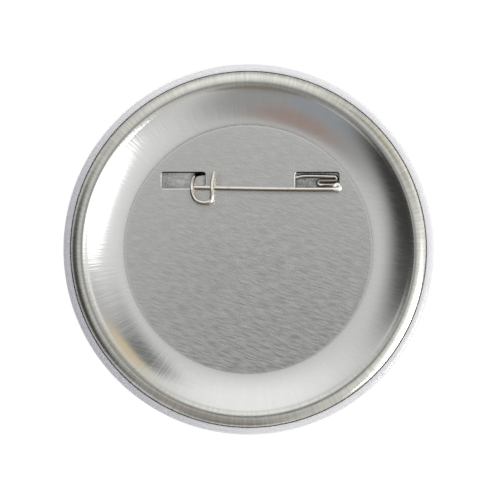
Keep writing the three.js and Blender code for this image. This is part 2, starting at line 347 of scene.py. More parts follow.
# Where a tone changes: from, to, and the shares at both ends where they are not 0 and 1
STREAKS_STRONGER = (-8 * MM, -24 * MM, 0.7, 2.2)  # towards the left
BEHIND_PLATE = (0.1 * MM, 0.5 * MM)
LEFT_SIDE = (-2 * MM, -4 * MM)
# painted shade on the fold's middle strand behind the right slot
NEST_SIDE = (8 * MM, 9.5 * MM, 0, 0.9)  # the fold's nest behind the right slot
NEST_REACH = (0.46 * MM, 0.34 * MM)
# painted highlight round the coil, which is also rougher there
COIL_HIGHLIGHT_REACH = (1.2 * MM, 0.85 * MM)  # round the coil
# painted shade on the wire's lower left side
WIRE_SHADE_SHARE = (-0.12, 0.42, 0, 0.95)
# painted light on the shell behind the left slot, growing towards the hook
SHELL_LIT_SIDE = (-17.5 * MM, -9.5 * MM, 0.08, 0.8)  # the shell behind the left slot, towards the hook
# over which a slot's edge turns to painted shade
EDGE_SHADE_SHARE = (0.36, 0.55)
# painted shade on the back of the paper's wrap, towards the lower left
PAPER_SHADE_SHARE = (0.1, 1.0)
TUCKED_IN = (0.0, -1.4 * MM)

# Directions of painted shade: on the wire's lower left side, on one side of each slot's edge, and on the
# lower left of the paper's wrap
WIRE_SHADE_WAY = Vector((-0.62, 0.1, -0.78)).normalized()
EDGE_SHADE_WAYS = {"left": (-0.1, -0.35, -0.93), "right": (-0.55, -0.35, -0.8)}
# direction of the painted shade on the paper's wrap
PAPER_SHADE_WAY = Vector((-1.0, 0.0, -0.3)).normalized() / HALF_WIDTH

WARM = (1.0, 0.985, 0.93)  # tint of the handled bead
# painted shade on the wire where it runs behind the plate on the left
HIDDEN_WIRE_SHADE = (0.02, 0.02, 0.018)
# painted shade on the fold's middle strand
NEST_SHADE = (0.09, 0.078, 0.055)
# painted highlight round the coil
COIL_HIGHLIGHT = (0.97, 0.965, 0.94)
# painted light on the shell seen through the left slot
SHELL_LIGHT = (0.95, 0.95, 0.93)
# painted shade on one side of each slot's cut edge
EDGE_SHADE = (0.022, 0.02, 0.018)


def new_material(name):
    material = bpy.data.materials.new(name)
    material.use_nodes = True
    return material, material.node_tree, material.node_tree.nodes["Principled BSDF"]


def stretched_noise(tree, cells, turn, detail=3.0):
    """Noise in the object's own space, drawn out along the sheet's rolling direction."""
    along, across = cells
    rolled = {"Vector": coordinates(tree), "Rotation": (0, -turn, 0)}
    drawn = {"Vector": output(tree, "ShaderNodeMapping", rolled), "Scale": (along, along, across)}
    return noise(tree, output(tree, "ShaderNodeMapping", drawn), detail=detail)


def from_axis(tree):
    """How far each point lies from the badge's axis, and its direction from there."""
    flat = vector(tree, "MULTIPLY", coordinates(tree), (1, 0, 1))
    return measured(tree, "LENGTH", flat), vector(tree, "NORMALIZE", flat)


def drawn_streaks(tree):
    """Noise drawn out along the radius, as a press tool leaves it on a dished wall."""
    radius, way = from_axis(tree)
    rise = output(tree, "ShaderNodeCombineXYZ", {1: product(tree, radius, STREAKS_ALONG)})
    return noise(tree, vector(tree, "ADD", scaled(tree, way, STREAKS_ROUND), rise))


def pressed_mark(tree, plate):
    """The faint block that the hook's former leaves beside the left slot, as a share from 0 to 1."""
    at = axes(tree, coordinates(tree))
    middle = (plate.inner_end + plate.mark_width / 2, plate.slot_top - plate.slot_height / 2)
    share = MARK_SHARE
    for axis, centre, reach in zip("XZ", middle, (plate.mark_width / 2, plate.slot_height / 2)):
        off = distance_from(tree, at[axis], centre)
        share = product(tree, between(tree, off, reach, reach - MARK_EDGE), share)
    return share


def needle_shadow_line(tree):
    """A painted shadow of the needle on the disc: a faint dark line just under it, which fades in from the
    point and ends at the coil.
    """
    at = axes(tree, coordinates(tree))
    off = distance_from(tree, at["Z"], NEEDLE_LOW.z - SHADOW_DROP)
    along = between(tree, at["X"], NEEDLE_LOW.x * 0.8, HINGE_AT.x * 0.6)
    ended = between(tree, at["X"], HINGE_AT.x + SHADOW_END, HINGE_AT.x - SHADOW_END, 0.0, 0.55)
    return product(tree, between(tree, off, SHADOW_WIDTH, 0.0), along, ended)


def add_relief(tree, shader, height, strength):
    bump = {"Strength": strength, "Distance": RELIEF, "Height": height}
    join(tree, shader, {"Normal": output(tree, "ShaderNodeBump", bump)})


def tinplate_material(name, finishes, shade=1.0, roughness=None):
    """Rolled tinplate: a fine straight grain and faint clouds. Gives its sockets for further work too."""
    material, tree, shader = new_material(name)
    turn = finishes.grain_angle
    fine = stretched_noise(tree, FINE_GRAIN, turn)
    broad = stretched_noise(tree, BROAD_GRAIN, turn, 4.0)
    cloud = stretched_noise(tree, CLOUDS, turn, 2.0)
    grain = calc(tree, "ADD", product(tree, fine, FINE_SHARE), product(tree, broad, BROAD_SHARE))
    base = Vector(finishes.tin) * shade
    tinted = blend(tree, spread(tree, grain, SOFT), base * 0.93, base * 1.06)
    tone = blend(tree, between(tree, cloud, 0.45, 0.8, 0, 0.5), tinted, base * 0.94)
    rough = finishes.tin_roughness if roughness is None else roughness
    dull = spread(tree, broad, SOFT, rough * 0.8, rough * 1.25)
    join(tree, shader, {"Base Color": tone, "Roughness": dull, "Metallic": 1.0})
    add_relief(tree, shader, grain, 0.5)
    return (material, tree, shader), {"tone": tone, "dull": dull, "grain": grain}


def dished_material(finishes, plate):
    """Tinplate of the back: drawn along the radius outside the disc, warm and scuffed on the bead, with a
    painted shadow under the needle.
    """
    (material, tree, shader), made = tinplate_material("tinplate_back", finishes)
    base = Vector(finishes.tin)
    radius = from_axis(tree)[0]
    streaks = drawn_streaks(tree)
    bowl = between(tree, radius, plate.disc, plate.disc + BOWL_EDGE)
    calm = blend(tree, spread(tree, streaks, SOFT), base * 0.985, base * 1.01)
    bowl_top = plate.crown - plate.bead_width
    beaded = between(tree, radius, bowl_top, bowl_top + plate.bead_width / 2)
    scuffed = blend(tree, spread(tree, streaks, FIRM), base * 0.9, base * 1.04)
    warmed = blend(tree, 1.0, scuffed, WARM, blend_type="MULTIPLY")
    layers = [(bowl, calm), (beaded, warmed)]
    for middle, width, dark in ((plate.crown, 0.5 * MM, 0.62), (plate.disc - 0.1 * MM, 0.12 * MM, 0.82)):
        retoned = between(tree, distance_from(tree, radius, middle), width, 0.0, 0.0, 0.85)
        layers.append((retoned, base * dark))
    layers.append((pressed_mark(tree, plate), times(base, 0.92, 0.875, 0.875)))
    # painted shadow under the needle
    layers.append((needle_shadow_line(tree), base * 0.7))
    disc_dull = between(tree, radius, plate.disc, plate.disc + BOWL_EDGE, DISC_DULLNESS, 1.0)
    dull = product(tree, made["dull"], disc_dull)
    dull = calc(tree, "ADD", dull, product(tree, beaded, BEAD_DULLNESS))
    join(tree, shader, {"Base Color": layered(tree, made["tone"], *layers), "Roughness": dull})
    strength = between(tree, axes(tree, coordinates(tree))["X"], *STREAKS_STRONGER)
    heights = {0: bowl, 2: made["grain"], 3: product(tree, streaks, strength)}
    add_relief(tree, shader, output(tree, "ShaderNodeMix", heights), 0.5)
    return material


def cut_edge_material(name, finishes, shaded_way):
    """Sheared edge of a slot, in a lighter tinplate, with painted shade, near black, on the side whose normal
    faces the shaded way.
    """
    (material, tree, shader), made = tinplate_material(name, finishes, 1.15, 0.14)
    share = measured(tree, "DOT_PRODUCT", coordinates(tree, "Normal"), Vector(shaded_way).normalized())
    tone = blend(tree, between(tree, share, *EDGE_SHADE_SHARE), made["tone"], EDGE_SHADE)
    join(tree, shader, {"Base Color": tone})
    return material


def shell_material(finishes):
    """Inside of the shell: the same tinplate, mottled, and painted lighter behind the left slot towards the
    hook as painted light.
    """
    (material, tree, shader), made = tinplate_material("tinplate_shell", finishes, 0.92, 0.3)
    place = coordinates(tree)
    mottle = between(tree, noise(tree, place, 1500.0, 4.0, 1.6), 0.42, 0.62)
    side = axes(tree, place)["X"]
    # painted light on the shell seen through the left slot, growing towards the hook
    retoned = product(tree, between(tree, side, *LEFT_SIDE), between(tree, side, *SHELL_LIT_SIDE))
    tone = layered(tree, made["tone"], (mottle, Vector(finishes.tin) * 0.5), (retoned, SHELL_LIGHT))
    join(tree, shader, {"Base Color": tone})
    return material


def wire_material(finishes, wire, plate):
    """Nickel-plated spring wire, with painted shade on its lower left side, on the fold's middle strand and
    where it runs behind the plate on the left, and a painted highlight round the coil.
    """
    material, tree, shader = new_material("nickel_wire")
    place = coordinates(tree)
    at = axes(tree, place)
    spots = noise(tree, place, 900.0, 4.0)
    base = Vector(finishes.wire)
    shade_facing = measured(tree, "DOT_PRODUCT", coordinates(tree, "Normal"), WIRE_SHADE_WAY)
    inside = between(tree, at["Y"], *BEHIND_PLATE)
    nest_z = plate.slot_top - wire.spine_drop - 1.5 * wire.diameter - wire.gap
    nest = between(tree, distance_from(tree, at["Z"], nest_z), *NEST_REACH)
    coil_highlight = between(tree, measured(tree, "DISTANCE", place, HINGE_AT), *COIL_HIGHLIGHT_REACH)
    tone = layered(
        tree,
        base,
        (between(tree, spots, 0.45, 0.8, 0, 0.7), times(base, 0.82, 0.78, 0.7)),
        # painted shade on the wire's lower left side
        (between(tree, shade_facing, *WIRE_SHADE_SHARE), times(base, 0.26, 0.22, 0.18)),
        # painted shade on the fold's middle strand behind the plate
        (product(tree, inside, nest, between(tree, at["X"], *NEST_SIDE)), NEST_SHADE),
        # painted shade on the wire behind the plate on the left
        (product(tree, inside, between(tree, at["X"], *LEFT_SIDE)), HIDDEN_WIRE_SHADE),
        # painted highlight round the coil
        (coil_highlight, COIL_HIGHLIGHT),
    )
    rough = finishes.wire_roughness
    drawn = between(tree, spots, 0.3, 0.75, rough * 0.8, rough * 1.7)
    dull = calc(tree, "ADD", drawn, product(tree, coil_highlight, COIL_DULLNESS))
    join(tree, shader, {"Base Color": tone, "Roughness": dull, "Metallic": 1.0})
    add_relief(tree, shader, stretched_noise(tree, WIRE_MARKS, 0.0), 0.2)
    return material


def paper_material(finishes):
    """Smooth white print paper, seen through the gloss of the film that lies on it."""
    material, tree, shader = new_material("white_paper")
    place = coordinates(tree)
    fibres = noise(tree, place, 2500.0, 5.0)
    cloud = between(tree, noise(tree, place, 120.0), 0.4, 0.8, 0, 0.25)
    base = Vector(finishes.paper)
    mottled = blend(tree, spread(tree, fibres, FIRM), base * 0.985, base * 1.01)
    # Painted shade on the back of the wrap, darker towards the lower left
    shade_to_lower_left = between(tree, measured(tree, "DOT_PRODUCT", place, PAPER_SHADE_WAY), *PAPER_SHADE_SHARE)
    painted_paper_shade = product(tree, shade_to_lower_left, between(tree, axes(tree, place)["Y"], *TUCKED_IN))
    tone = layered(tree, mottled, (cloud, base * 0.95), (painted_paper_shade, times(base, 0.62, 0.62, 0.66)))
    dull = spread(tree, fibres, SOFT, 0.5, 0.65)
    coat = {"Coat Weight": 0.8, "Coat Roughness": 0.06}
    join(tree, shader, {"Base Color": tone, "Roughness": dull, **coat})
    return material


def film_material(finishes):
    """Clear polyester film: almost nothing but its gloss, with a slightly uneven surface."""
    material, tree, shader = new_material("gloss_film")
    ripple = noise(tree, coordinates(tree), 260.0, 2.0)
    tint = Vector(finishes.film)
    dull = spread(tree, ripple, SOFT, 0.03, 0.07)
    look = {"Base Color": blend(tree, ripple, tint * 0.97, tint), "Roughness": dull}
    join(tree, shader, {**look, "IOR": 1.6, "Alpha": 0.05})
    add_relief(tree, shader, ripple, 0.05)
    return material


def floor_material():
    material, tree, shader = new_material("pale_floor")
    cloud = noise(tree, coordinates(tree), 6.0)
    tone = blend(tree, cloud, (0.8, 0.8, 0.8), (0.84, 0.84, 0.83))
    join(tree, shader, {"Base Color": tone, "Roughness": 0.9})
    return material


# Outlines, as radius across and depth behind the flat disc


def curve_points(corners, steps):
    """Points on the Bezier curve with these corners, the first left out."""
    made = []
    for i in range(1, steps + 1):
        line = [Vector(c) for c in corners]
        while len(line) > 1:
            line = [a.lerp(b, i / steps) for a, b in zip(line, line[1:])]
        made.append(line[0])
    return made


def arc_points(centre, radius, start, end, steps):
    """Points on a round stretch, the first left out."""
    turns = [start + (end - start) * i / steps for i in range(1, steps + 1)]
    return [Vector((centre[0] + radius * cos(t), centre[1] + radius * sin(t))) for t in turns]


def aimed(turn):
    return Vector((cos(turn), sin(turn)))


def side_ways(points):
    """The left-hand side of the outline at each point."""
    ways = []
    for i in range(len(points)):
        before, after = points[max(i - 1, 0)], points[min(i + 1, len(points) - 1)]
        along = (after - before).normalized()
        ways.append(Vector((-along.y, along.x)))
    ways[0] = Vector((0, 1))
    return ways


def moved(points, distance):
    return [p + way * distance for p, way in zip(points, side_ways(points))]


def wall(rear, front):
    """One closed outline from two faces that both start on the axis, with its cut edge rounded."""
    a, b = rear[-1], front[-1]
    middle = (a + b) / 2
    along = (rear[-1] - rear[-2]).normalized()
    reach = (b - a).length / 2
    turn = [pi * i / EDGE_STEPS for i in range(1, EDGE_STEPS)]
    edge = [middle + (a - middle) * cos(t) + along * reach * sin(t) for t in turn]
    return rear + edge + list(reversed(front))


def plate_outline(plate):
    """Rear face of the plate: disc, pressed line, bowl, bead, flank and the edge caught under the curl."""
    crown = Vector((plate.crown, plate.bead_height))
    bowl_top = Vector((crown.x - plate.bead_width, crown.y - plate.bowl_rim))
    third = plate.bowl_width / 3
    edge = plate.disc - plate.ring_width
    points = [Vector((edge * i / DISC_STEPS, 0)) for i in range(DISC_STEPS + 1)]
    for point in points:
        point.y = plate.level(point.x, 0)
    low = -plate.ring_depth
    ring = [(edge, 0), (edge + plate.ring_width * 0.4, 0), (plate.disc - plate.ring_width * 0.2, low)]
    points += curve_points([*ring, (plate.disc, low)], RING_STEPS)
    start, end = aimed(plate.bowl_start) * third, aimed(plate.bowl_end) * third
    foot = Vector((plate.disc, low))
    points += curve_points([foot, foot + start, bowl_top - end, bowl_top], BOWL_STEPS)
    points += curve_points([bowl_top, (crown.x - plate.bead_width / 3, crown.y), crown], BEAD_STEPS)
    corner = Vector((plate.crease, plate.hook_depth + plate.sheet))
    over = (crown.x + plate.bead_set_in * CROWN_FULLNESS, crown.y)
    down = (corner.x, corner.y + (crown.y - corner.y) * FLANK_FULLNESS)
    points += curve_points([crown, over, down, corner], FLANK_STEPS)
    caught = [corner, (corner.x, plate.hook_depth), (PLATE_HIGH.x, plate.hook_depth)]
    return points + curve_points(caught, CAUGHT_STEPS)


def front_outline(front):
    """Outermost face of the front: dome, shoulder and curl."""
    rim = FILM_HIGH.x
    start = Vector((rim - front.shoulder, front.dome_drop - FILM_HIGH.y))
    radius = (start.x**2 + front.dome_drop**2) / (2 * front.dome_drop)
    slope = asin(start.x / radius)
    points = [Vector((0, -FILM_HIGH.y))]
    middle = (0, radius - FILM_HIGH.y)
    points += arc_points(middle, radius, -pi / 2, slope - pi / 2, DOME_STEPS)
    end = Vector((rim, front.rim_depth))
    lead = aimed(slope) * front.shoulder * SHOULDER_FULLNESS
    points += curve_points([start, start + lead, (rim, (start.y + end.y) / 2), end], SHOULDER_STEPS)
    centre = (rim - front.rim_radius, front.rim_depth)
    return points + arc_points(centre, front.rim_radius, 0, front.curl, CURL_STEPS)


# Geometry Nodes


def new_tree(name, sockets):
    """A geometry tree with a mesh in, a mesh out and the named sizes."""
    tree = bpy.data.node_groups.new(name, "GeometryNodeTree")
    for label, kind in {"Geometry": "Geometry", **sockets, "Material": "Material"}.items():
        tree.interface.new_socket(label, in_out="INPUT", socket_type="NodeSocket" + kind)
    tree.interface.new_socket("Geometry", in_out="OUTPUT", socket_type="NodeSocketGeometry")
    return tree, tree.nodes.new("NodeGroupInput").outputs


def finish_tree(tree, geometry, given):
    """Smooth faces with sharp cut edges, real instances and the material."""
    corner = add(tree, "GeometryNodeInputMeshEdgeAngle").outputs["Unsigned Angle"]
    above = {"data_type": "FLOAT", "operation": "GREATER_THAN"}
    sharp = output(tree, "FunctionNodeCompare", {0: corner, 1: SHARP_ANGLE}, **above)
    faces = {"Geometry": geometry, "Shade Smooth": True}
    smooth = output(tree, "GeometryNodeSetShadeSmooth", faces, domain="FACE")
    edges = {"Geometry": smooth, "Selection": sharp, "Shade Smooth": False}
    cut = output(tree, "GeometryNodeSetShadeSmooth", edges, domain="EDGE")
    real = output(tree, "GeometryNodeRealizeInstances", {"Geometry": cut})
    painted = output(tree, "GeometryNodeSetMaterial", {"Geometry": real, "Material": given["Material"]})
    add(tree, "NodeGroupOutput", {0: painted})
    return tree


def revolve_tree():
    """Turns an outline about the badge's axis; each point may ripple along its own outward direction."""
    tree, given = new_tree("Turned sheet", {"Segments": "Int", "Points": "Int", "Ripple": "Float"})
    last_point = calc(tree, "SUBTRACT", given["Points"], 1)
    around = calc(tree, "ADD", given["Segments"], 1)
    grid = add(tree, "GeometryNodeMeshGrid", {"Vertices X": given["Points"], "Vertices Y": around})
    uv = axes(tree, grid.outputs["UV Map"])
    index = calc(tree, "ROUND", product(tree, uv["X"], last_point))
    theta = product(tree, uv["Y"], 2 * pi)

    def sampled(value, kind):
        inputs = {"Geometry": given["Geometry"], "Value": value, "Index": index}
        return output(tree, "GeometryNodeSampleIndex", inputs, data_type=kind, domain="POINT")

    def stored(label, kind):
        return sampled(output(tree, "GeometryNodeInputNamedAttribute", {"Name": label}, data_type=kind), kind)

    point = sampled(output(tree, "GeometryNodeInputPosition"), "FLOAT_VECTOR")
    outward = stored("outward", "FLOAT_VECTOR")
    share = stored("ripple_share", "FLOAT")
    cos_t, sin_t = calc(tree, "COSINE", theta), calc(tree, "SINE", theta)
    spot = {i: product(tree, side, PLEAT_COARSENESS) for i, side in enumerate((cos_t, sin_t))}
    spot[2] = PLEAT_SEED
    wave = noise(tree, output(tree, "ShaderNodeCombineXYZ", spot), detail=2.0)
    height = product(tree, calc(tree, "SUBTRACT", wave, 0.5), share, given["Ripple"])
    flat = axes(tree, vector(tree, "ADD", point, scaled(tree, outward, height)))
    radius, depth = flat["X"], flat["Y"]
    spun = {0: product(tree, radius, cos_t), 1: product(tree, depth, -1.0), 2: product(tree, radius, sin_t)}
    position = output(tree, "ShaderNodeCombineXYZ", spun)
    turned = output(tree, "GeometryNodeSetPosition", {"Geometry": grid.outputs["Mesh"], "Position": position})
    merging = {"Geometry": turned, "Distance": MERGE_DISTANCE}
    return finish_tree(tree, output(tree, "GeometryNodeMergeByDistance", merging), given)


def wire_tree():
    """A round wire along the object's own curve, as thick at each point as the curve says."""
    tree, given = new_tree("Drawn wire", {"Radius": "Float", "Sides": "Int"})
    ring = {"Resolution": given["Sides"], "Radius": given["Radius"]}
    section = output(tree, "GeometryNodeCurvePrimitiveCircle", ring)
    inputs = {"Curve": given["Geometry"], "Profile Curve": section, "Fill Caps": True}
    return finish_tree(tree, output(tree, "GeometryNodeCurveToMesh", inputs), given)


def linked(name, data):
    """A new object in the scene."""
    made = bpy.data.objects.new(name, data)
    bpy.context.scene.collection.objects.link(made)
    return made


def evaluated_mesh(source):
    """The mesh that the object's modifiers make of it; the object itself goes."""
    bpy.context.view_layer.update()
    mesh = bpy.data.meshes.new_from_object(source.evaluated_get(bpy.context.evaluated_depsgraph_get()))
    bpy.data.objects.remove(source)
    return mesh


def run_tree(source, name, tree, **values):
    """Evaluates the tree on the source object and leaves a plain mesh object, its faces pointing out."""
    modifier = source.modifiers.new("made", "NODES")
    modifier.node_group = tree
    for item in tree.interface.items_tree:
        if item.in_out == "INPUT" and item.name in values:
            modifier[item.identifier] = values[item.name]
    return plain_object(name, evaluated_mesh(source), values["Material"])


def plain_object(name, mesh, material):
    """An object of this mesh in one material, every face pointing out."""
    tidy = bmesh.new()
    tidy.from_mesh(mesh)
    bmesh.ops.recalc_face_normals(tidy, faces=tidy.faces)
    for face in tidy.faces:
        face.material_index = 0
    tidy.to_mesh(mesh)
    tidy.free()
    mesh.name = name
    mesh.materials.clear()
    mesh.materials.append(material)
    mesh.set_sharp_from_angle(angle=SHARP_ANGLE)
    return linked(name, mesh)


def turned_piece(name, outline, segments, material, ripple=0.0, shares=None, ways=None):
    """The outline turned round the axis; the shares and ways say how and where it may ripple."""
    mesh = bpy.data.meshes.new("outline")
    mesh.from_pydata([(p.x, p.y, 0) for p in outline], [(i, i + 1) for i in range(len(outline) - 1)], [])
    mesh.attributes.new("outward", "FLOAT_VECTOR", "POINT")
    mesh.attributes.new("ripple_share", "FLOAT", "POINT")
    for i in range(len(outline) if ways else 0):
        mesh.attributes["outward"].data[i].vector = (ways[i].x, ways[i].y, 0)
        mesh.attributes["ripple_share"].data[i].value = shares[i]
    values = {"Segments": segments, "Points": len(outline), "Ripple": ripple, "Material": material}
    return run_tree(linked("outline", mesh), name, revolve_tree(), **values)


def wire_piece(name, points, radius, sides, material, shares=None):
    """A round wire through the points, closed in a ring where no shares of its thickness are given."""
    curve = bpy.data.curves.new(name + "_path", "CURVE")
    curve.dimensions = "3D"
    spline = curve.splines.new("POLY")
    spline.points.add(len(points) - 1)
    for i, point in enumerate(spline.points):
        point.co = (*points[i], 1)
        point.radius = shares[i] if shares else 1.0
    spline.use_cyclic_u = not shares
    source = linked(name + "_path", curve)
    return run_tree(source, name, wire_tree(), Radius=radius, Sides=sides, Material=material)


# The wire's centre line


def place(x, depth, z):
    return Vector((x, -depth, z))


def through(places, steps):
    """A smooth line through the places, with this many steps between neighbours."""
    points = [place(*p) for p in places]
    line = [points[0] * 2 - points[1], *points, points[-1] * 2 - points[-2]]
    made = [points[0].copy()]
    for a, b, c, d in zip(line, line[1:], line[2:], line[3:]):
        spans = [max((q - p).length, 1e-9) ** 0.5 for p, q in ((a, b), (b, c), (c, d))]
        t0, t1 = 0.0, spans[0]
        t2 = t1 + spans[1]
        t3 = t2 + spans[2]
        for i in range(1, steps + 1):
            t = t1 + (t2 - t1) * i / steps
            p1 = a.lerp(b, (t - t0) / (t1 - t0))
            p2 = b.lerp(c, (t - t1) / (t2 - t1))
            p3 = c.lerp(d, (t - t2) / (t3 - t2))
            q1 = p1.lerp(p2, (t - t0) / (t2 - t0))
            q2 = p2.lerp(p3, (t - t1) / (t3 - t1))
            made.append(q1.lerp(q2, (t - t1) / (t2 - t1)))
    return made


def bend(x, depth, z, radius, start, end):
    """A half turn of the wire in a plane parallel to the plate."""
    turns = [radians(start + (end - start) * i / BEND_STEPS) for i in range(BEND_STEPS + 1)]
    return [place(x + radius * cos(t), depth, z + radius * sin(t)) for t in turns]


def turn_points(wire, level, start, end, steps=TURN_STEPS):
    """A turn of the coil about the hinge, level along its axis."""
    up = HINGE_AXIS.cross(Vector((1, 0, 0)))
    turns = [start + (end - start) * i / steps for i in range(steps + 1)]
    middle = HINGE_AT + HINGE_AXIS * level
    across = Vector((wire.eye_across, 0, 0))
    return [middle + across * cos(t) + up * wire.eye_up * sin(t) for t in turns]


def needle_line(wire, plate):
    """The coil's second turn and the shaft, with how thick the wire is at each point."""
    quarter = pi / 2
    turn = turn_points(wire, 0.0, wire.needle_turn - quarter, -quarter)
    start = turn[-1]
    tip = first_leg(wire, plate) + wire.tip_gap
    middle = Vector(((start.x + tip) / 2, start.y, start.z))
    end = Vector((tip, start.y, start.z + wire.needle_bow))
    shaft = curve_points([start, middle, end], SHAFT_STEPS)
    points = turn + shaft
    slim = wire.point_radius / (wire.diameter / 2)
    shares = []
    for p in points:
        share = max(min((p.x - tip) / wire.point_length, 1.0), 0.0)
        shares.append(slim + (1 - slim) * sin(share * quarter) ** POINT_FULLNESS)
    return points, shares


def first_leg(wire, plate):
    return plate.inner_end - wire.catch_set_in


def fixed_line(wire, plate):
    """From the hook's free end over the needle, through the slot, along the spine and fold to the coil.

    The hook's points stand at shares of the heights between the slot, the needle and the hook's bottom.
    """
    radius = wire.diameter / 2
    pitch = wire.diameter + wire.gap
    tilt = asin(HINGE_AXIS.z)
    needle_low = turn_points(wire, 0.0, -pi / 2, 0.0, 1)[0]
    needle_z, needle_d = needle_low.z, -needle_low.y
    exit_z = plate.slot_top - wire.gap - radius
    spine_z = plate.slot_top - wire.spine_drop - radius
    spine_d = -(plate.sheet + wire.spine_gap + radius)
    inner_end = plate.inner_end
    rise = wire.diameter + wire.swing_gap + (wire.catch_drop + wire.needle_bow) * sin(tilt)
    catch_d = needle_d + rise / cos(tilt)
    leg_1 = first_leg(wire, plate)
    leg_2 = leg_1 + wire.catch_width
    bottom = needle_z - wire.catch_drop
    leg_d = needle_d + wire.diameter + wire.swing_gap
    climb = exit_z - needle_z
    step = wire.catch_width / 5
    hook = [
        (leg_1 + 1.8 * step, spine_d - radius, exit_z + wire.tuck * 0.7),
        (leg_1 + step, spine_d + radius / 2, exit_z),
        (leg_1 + step / 3, needle_d / 2, needle_z + 0.75 * climb),
        (leg_1, leg_d - radius, needle_z + 0.35 * climb),
        (leg_1, leg_d + wire.swing_gap, needle_z),
        (leg_1 + step / 5, (leg_d + catch_d + wire.swing_gap) / 2, needle_z - wire.catch_drop * 0.4),
        (leg_1 + step, catch_d, bottom + wire.catch_drop * 0.2),
        ((leg_1 + leg_2) / 2, catch_d, bottom),
        (leg_2 - step / 2, catch_d, bottom + wire.catch_drop * 0.1),
        (leg_2, catch_d, bottom + wire.catch_drop * 0.5),
        (leg_2, leg_d + 2 * wire.swing_gap, needle_z),
        (leg_2, leg_d - radius / 2, needle_z + 0.3 * wire.catch_tail),
        (leg_2 + step / 4, needle_d, needle_z + 0.7 * wire.catch_tail),
        (leg_2 + step / 2, wire.diameter, needle_z + wire.catch_tail),
    ]
    anchor = plate.row_shift + plate.slot_outer - plate.slot_length
    fold_right = HINGE_AT.x - wire.fold_set_in
    fold_left = fold_right - wire.fold
    spine = [
        (inner_end - wire.diameter / 2, spine_d - radius, exit_z + wire.tuck),
        (inner_end + plate.slot_length / 2, spine_d, exit_z),
        (anchor - wire.diameter, spine_d, spine_z - wire.spine_dip),
        (anchor + 2 * wire.diameter, spine_d, spine_z + radius / 4),
        (fold_right, spine_d, spine_z),
    ]
    right = bend(fold_right, spine_d, spine_z - pitch / 2, pitch / 2, 90, -90)
    left = bend(fold_left, spine_d, spine_z - 1.5 * pitch, pitch / 2, 90, 270)
    quarter = pi / 2
    turn = turn_points(wire, -pitch, quarter, quarter - wire.fixed_turn)
    lead = Vector((wire.fold / 3, 0, 0))
    ramp = curve_points([left[-1], left[-1] + lead, turn[0] - lead, turn[0]], RAMP_STEPS)
    line = [*reversed(through(hook, WIRE_STEPS)), *through(spine, WIRE_STEPS)]
    return [*line, *right[1:], *left, *ramp, *turn[1:]]


# Pieces


def on_badge(piece, node):
    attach(piece, "badge")
    if node:
        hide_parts(node)


def slot_outlines(plate, margin):
    """The rounded outline of each slot, let out by the margin."""
    outlines = []
    corner = plate.slot_corner
    radius = corner + margin
    top, bottom = plate.slot_top - corner, plate.slot_top - plate.slot_height + corner
    for end in (plate.inner_end, plate.row_shift + plate.slot_outer):
        right, left = end - corner, end - plate.slot_length + corner
        outline = []
        for i, centre in enumerate(((right, top), (left, top), (left, bottom), (right, bottom))):
            start = i * pi / 2
            outline.append(Vector(centre) + aimed(start) * radius)
            outline += arc_points(centre, radius, start, start + pi / 2, SLOT_CORNER_STEPS)
        outlines.append(outline)
    return outlines


def block_object(outlines, low, high):
    """Upright blocks with these outlines, from one depth to another."""
    solid = bmesh.new()
    for outline in outlines:
        rear = [solid.verts.new(place(p.x, high, p.y)) for p in outline]
        front = [solid.verts.new(place(p.x, low, p.y)) for p in outline]
        solid.faces.new(rear)
        solid.faces.new(list(reversed(front)))
        for i, vert in enumerate(rear):
            solid.faces.new((rear[i - 1], vert, front[i], front[i - 1]))
    bmesh.ops.recalc_face_normals(solid, faces=solid.faces)
    mesh = bpy.data.meshes.new("slot_cutters")
    solid.to_mesh(mesh)
    solid.free()
    return linked("slot_cutters", mesh)


def cut_away(piece, cutter):
    """Takes the cutter out of the piece."""
    modifier = piece.modifiers.new("cut", "BOOLEAN")
    modifier.operation = "DIFFERENCE"
    modifier.solver = "EXACT"
    modifier.object = cutter
    name, material = piece.name, piece.data.materials[0]
    mesh = evaluated_mesh(piece)
    bpy.data.objects.remove(cutter)
    return plain_object(name, mesh, material)


class BADGE_OT_back_plate(Operator):
    """Stamp the dished tinplate back, cut its two slots and roll their burrs"""

    bl_idname = "badge.back_plate"
    bl_label = "Back plate"

    def execute(self, context):
        plate, finishes = context.scene.badge_plate, context.scene.badge_finishes
        rear = plate_outline(plate)
        outline = wall(rear, moved(rear, -plate.sheet))
        outline[-1].x = 0
        piece = turned_piece("dished_back", outline, plate.segments, dished_material(finishes, plate))
        outlines = slot_outlines(plate, plate.lip)
        piece = cut_away(piece, block_object(outlines, -2 * plate.sheet, 4 * plate.sheet))
        on_badge(piece, "back_plate")
        for (side, shaded_way), slot_outline in zip(EDGE_SHADE_WAYS.items(), outlines):
            edge = cut_edge_material(side + "_cut_edge", finishes, shaded_way)
            points = [place(p.x, plate.level(p.x, p.y) - plate.lip, p.y) for p in slot_outline]
            lip = wire_piece(side + "_slot_edge", points, plate.lip, LIP_SIDES, edge)
            on_badge(lip, None)
        return {"FINISHED"}


